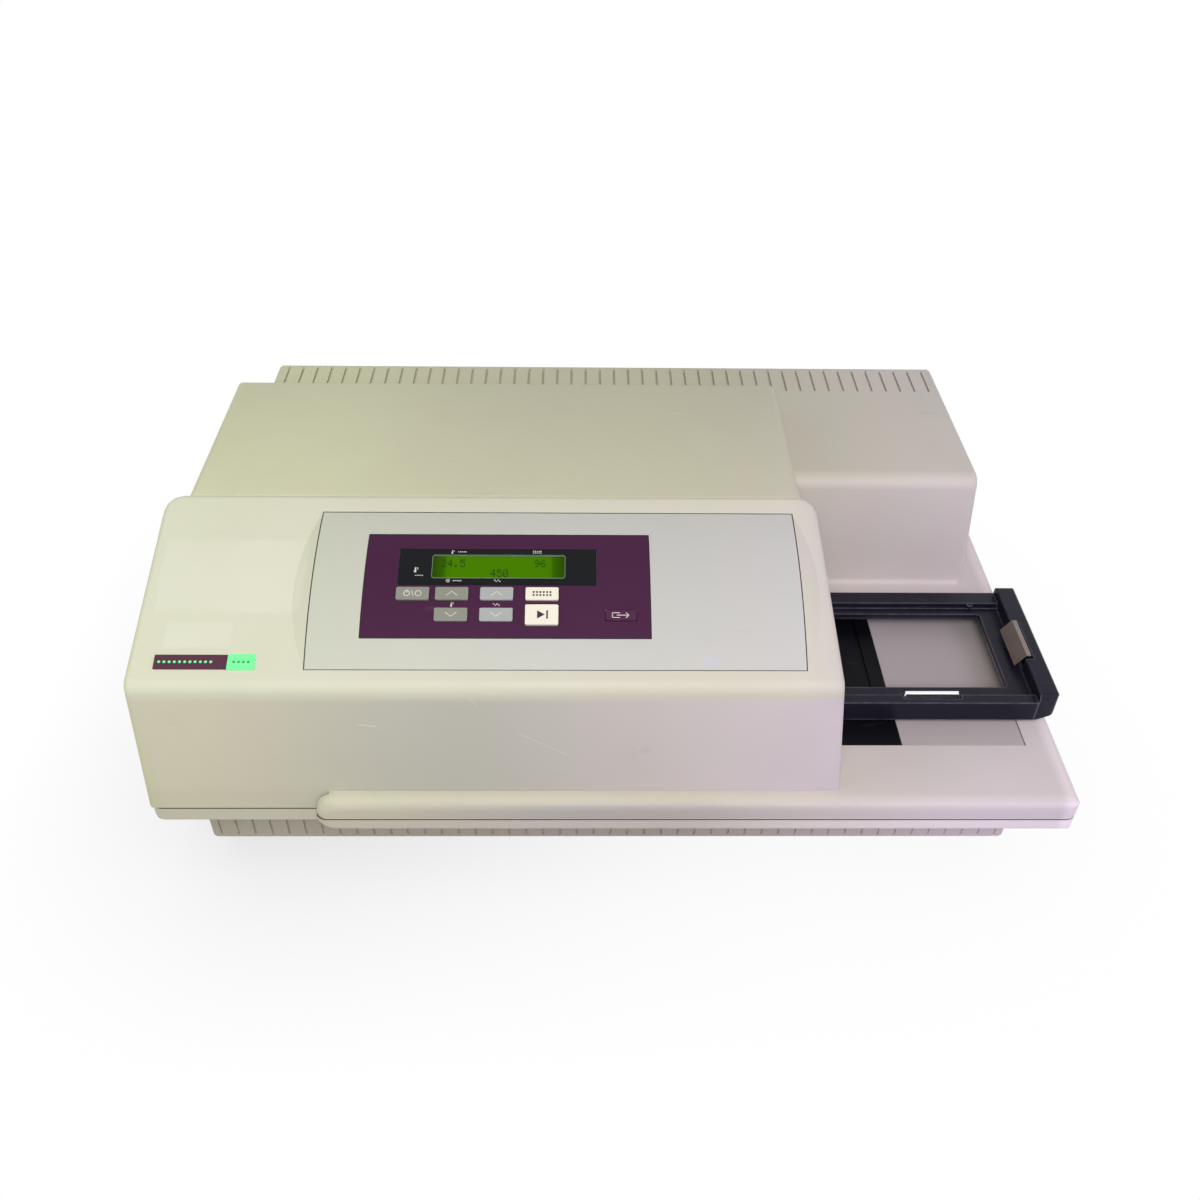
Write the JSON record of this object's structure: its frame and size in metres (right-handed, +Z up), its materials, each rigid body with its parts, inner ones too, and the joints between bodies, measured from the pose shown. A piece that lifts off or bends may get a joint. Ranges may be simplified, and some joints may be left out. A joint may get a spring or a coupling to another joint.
{
  "type": "microplate reader",
  "caption": "Benchtop microplate reader with a sloping control panel, two-line display, keys, and a motor-driven plate drawer at its right side.",
  "frame": {"origin": "centre of the base, on the bench under the feet", "axes": "+X towards the drawer side (the user's right), +Y towards the back, +Z up"},
  "size_m": [0.5824, 0.379, 0.2157],
  "materials": {
    "case_beige": "moulded plastic with a fine grain",
    "hood_beige": "moulded plastic with a fine grain, slightly yellowed",
    "pan_grey": "moulded plastic, ribbed front",
    "panel_grey": "smooth satin plastic",
    "overlay_plum": "printed satin overlay film",
    "lens_black": "glossy printed lens",
    "lcd_green": "lit display glass",
    "key_grey": "satin keys",
    "key_blue": "satin keys",
    "key_cream": "satin keys",
    "key_plum": "satin key",
    "badge_plum": "satin strip",
    "badge_mint": "satin strip",
    "sill_black": "textured plastic",
    "deck_grey": "fine texture paint",
    "drawer_black": "moulded plastic with scuffs",
    "black_plastic": "moulded plastic",
    "spring_steel": "bright spring strip",
    "steel": "ground steel",
    "aluminium": "milled aluminium",
    "black_metal": "black anodised look",
    "grey_metal": "grey paint",
    "board_green": "solder mask",
    "rubber": "black rubber",
    "lamp_glass": "clear glass",
    "grating_coat": "ruled mirror",
    "heater_film": "anodised plate with heater film"
  },
  "bodies": {
    "case": {"base_pan": "pan_grey", "rubber_feet": "rubber", "lower_case": "case_beige", "upper_cover": "case_beige", "front_hood": "hood_beige", "control_panel": "panel_grey", "keypad_overlay": "overlay_plum", "display_lens": "lens_black", "lcd_glass": "lcd_green", "lcd_module": "board_green", "keypad_board": "board_green", "badge_plate": "badge_plum", "badge_tab": "badge_mint", "deck_plate": "deck_grey", "drawer_sill": "sill_black", "rear_panel": "grey_metal", "case_screws": "steel", "chassis_plate": "aluminium", "main_board": "board_green", "power_supply": "aluminium", "fan_frame": "black_plastic", "power_inlet": "black_plastic", "switch_body": "black_plastic", "serial_port": "steel", "lamp_housing": "black_metal", "flash_lamp": "lamp_glass", "filter_motor": "black_metal", "monochromator_body": "black_metal", "monochromator_lid": "black_metal", "grating_motor": "black_metal", "fibre_bundle": "black_plastic", "read_head": "aluminium", "lower_heater": "heater_film", "upper_heater": "heater_film", "detector_board": "board_green", "guide_rods": "steel", "rod_brackets": "aluminium", "drawer_motor": "black_metal", "idler_post": "steel", "drive_belt": "rubber"},
    "drawer": {"drawer_frame": "drawer_black", "drawer_end_cap": "drawer_black", "rod_blocks": "black_plastic", "belt_clamp": "aluminium"},
    "end_clip": {"end_clip": "spring_steel"},
    "front_clip": {"front_clip": "spring_steel"},
    "motor_pulley": {"motor_pulley": "aluminium"},
    "idler_pulley": {"idler_pulley": "aluminium"},
    "filter_wheel": {"filter_wheel": "black_metal"},
    "grating": {"grating": "grating_coat"},
    "fan_rotor": {"fan_rotor": "black_plastic"},
    "switch_rocker": {"switch_rocker": "black_plastic"},
    "key_temp_switch": {"key_temp_switch": "key_grey"},
    "key_temp_up": {"key_temp_up": "key_grey"},
    "key_temp_down": {"key_temp_down": "key_grey"},
    "key_wave_up": {"key_wave_up": "key_blue"},
    "key_wave_down": {"key_wave_down": "key_blue"},
    "key_plate_format": {"key_plate_format": "key_cream"},
    "key_read": {"key_read": "key_cream"},
    "key_drawer": {"key_drawer": "key_plum"}
  },
  "joints": [
    {"name": "drawer_slide", "type": "slide", "parent": "case", "child": "drawer", "axis": [1, 0, 0], "range_m": [-0.152, 0]},
    {"name": "end_clip_hinge", "type": "hinge", "parent": "drawer", "child": "end_clip", "pos_m": [0.28145, -0.066, 0.1001], "axis": [0, 1, 0], "range_deg": [0, 8], "stiffness_Nm_per_rad": 0.2},
    {"name": "front_clip_hinge", "type": "hinge", "parent": "drawer", "child": "front_clip", "pos_m": [0.19115, -0.1147, 0.1003], "axis": [0, 0, -1], "range_deg": [0, 4], "stiffness_Nm_per_rad": 0.2},
    {"name": "motor_pulley_spin", "type": "hinge", "parent": "case", "child": "motor_pulley", "pos_m": [-0.10125, 0.0335, 0.1006], "axis": [0, 0, 1], "range_deg": [-1096, 0]},
    {"name": "idler_pulley_spin", "type": "hinge", "parent": "case", "child": "idler_pulley", "pos_m": [0.10475, 0.0335, 0.1006], "axis": [0, 0, 1], "range_deg": [-1096, 0]},
    {"name": "filter_wheel_spin", "type": "hinge", "parent": "case", "child": "filter_wheel", "pos_m": [-0.18125, -0.0505, 0.108], "axis": [0, 1, 0], "continuous": true},
    {"name": "grating_turn", "type": "hinge", "parent": "case", "child": "grating", "pos_m": [-0.17125, 0.0235, 0.124], "axis": [0, 0, 1], "range_deg": [-35, 35]},
    {"name": "fan_spin", "type": "hinge", "parent": "case", "child": "fan_rotor", "pos_m": [0.10875, 0.1715, 0.127], "axis": [0, 1, 0], "continuous": true},
    {"name": "power_rocker", "type": "hinge", "parent": "case", "child": "switch_rocker", "pos_m": [-0.10125, 0.1825, 0.127], "axis": [1, 0, 0], "range_deg": [0, 14]},
    {"name": "key_temp_switch_press", "type": "slide", "parent": "case", "child": "key_temp_switch", "axis": [0, 0.3904, -0.9206], "range_m": [0, 0.0006], "stiffness_N_per_m": 900},
    {"name": "key_temp_up_press", "type": "slide", "parent": "case", "child": "key_temp_up", "axis": [0, 0.3904, -0.9206], "range_m": [0, 0.0006], "stiffness_N_per_m": 900},
    {"name": "key_temp_down_press", "type": "slide", "parent": "case", "child": "key_temp_down", "axis": [0, 0.4481, -0.894], "range_m": [0, 0.0006], "stiffness_N_per_m": 900},
    {"name": "key_wave_up_press", "type": "slide", "parent": "case", "child": "key_wave_up", "axis": [0, 0.3904, -0.9206], "range_m": [0, 0.0006], "stiffness_N_per_m": 900},
    {"name": "key_wave_down_press", "type": "slide", "parent": "case", "child": "key_wave_down", "axis": [0, 0.4481, -0.894], "range_m": [0, 0.0006], "stiffness_N_per_m": 900},
    {"name": "key_plate_format_press", "type": "slide", "parent": "case", "child": "key_plate_format", "axis": [0, 0.3904, -0.9206], "range_m": [0, 0.0006], "stiffness_N_per_m": 900},
    {"name": "key_read_press", "type": "slide", "parent": "case", "child": "key_read", "axis": [0, 0.449, -0.8935], "range_m": [0, 0.0006], "stiffness_N_per_m": 900},
    {"name": "key_drawer_press", "type": "slide", "parent": "case", "child": "key_drawer", "axis": [0, 0.4481, -0.894], "range_m": [0, 0.0006], "stiffness_N_per_m": 900}
  ],
  "couplings": [
    {"joint": "motor_pulley_spin", "follows": "drawer_slide", "rad_per_m": 125.79},
    {"joint": "idler_pulley_spin", "follows": "drawer_slide", "rad_per_m": 125.79}
  ]
}
